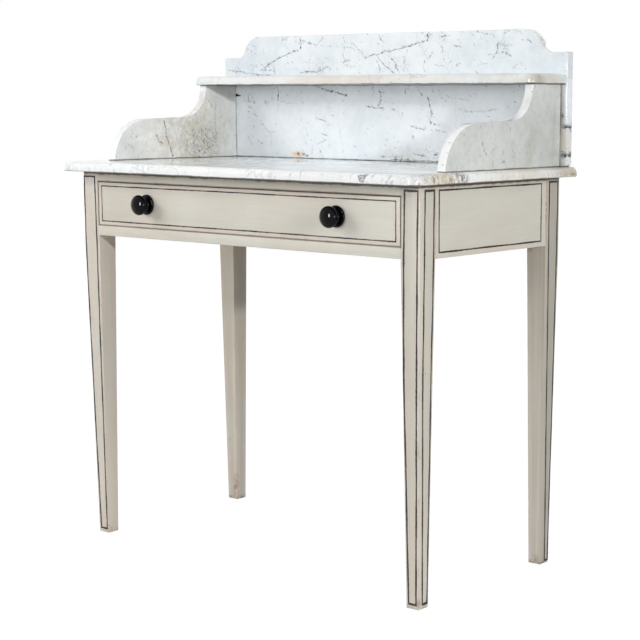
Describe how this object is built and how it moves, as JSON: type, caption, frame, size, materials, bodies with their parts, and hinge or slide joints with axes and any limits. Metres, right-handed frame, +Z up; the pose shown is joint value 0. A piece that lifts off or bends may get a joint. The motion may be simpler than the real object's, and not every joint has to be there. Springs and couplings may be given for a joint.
{
  "type": "washstand",
  "caption": "Painted timber washstand table with a sliding drawer on turned knobs, and a marble top with shaped splashback, scrolled side brackets and narrow shelf.",
  "frame": {"origin": "on the floor, under the middle of the marble top", "axes": "+X to the right as seen from the front, -Y to the front where the drawer opens, +Z up"},
  "size_m": [0.889, 0.46, 0.984],
  "materials": {
    "painted_timber": "satin",
    "bare_pine": "matte",
    "ebonised_wood": "gloss",
    "marble": "satin",
    "iron": "matte"
  },
  "bodies": {
    "stand": {"leg_front_left": "painted_timber", "leg_front_right": "painted_timber", "leg_back_left": "painted_timber", "leg_back_right": "painted_timber", "front_top_rail": "painted_timber", "front_bottom_rail": "painted_timber", "side_apron_left": "painted_timber", "side_apron_right": "painted_timber", "back_apron": "painted_timber", "drawer_runner_left": "bare_pine", "drawer_runner_right": "bare_pine", "drawer_kicker_left": "bare_pine", "drawer_kicker_right": "bare_pine", "drawer_guide_left": "bare_pine", "drawer_guide_right": "bare_pine", "drawer_stops": "bare_pine", "marble_top": "marble", "marble_splashback": "marble", "marble_bracket_left": "marble", "marble_bracket_right": "marble", "marble_shelf": "marble", "splashback_dowels": "iron", "bracket_dowels": "iron", "shelf_dowels": "iron"},
    "drawer": {"drawer_front": "painted_timber", "drawer_side_left": "bare_pine", "drawer_side_right": "bare_pine", "drawer_back": "bare_pine", "drawer_bottom": "bare_pine", "drawer_slip_left": "bare_pine", "drawer_slip_right": "bare_pine", "drawer_bottom_nails": "iron", "knob_left": "ebonised_wood", "knob_right": "ebonised_wood"}
  },
  "joints": [
    {"name": "drawer_slide", "type": "slide", "parent": "stand", "child": "drawer", "axis": [0, -1, 0], "range_m": [0, 0.27]}
  ]
}
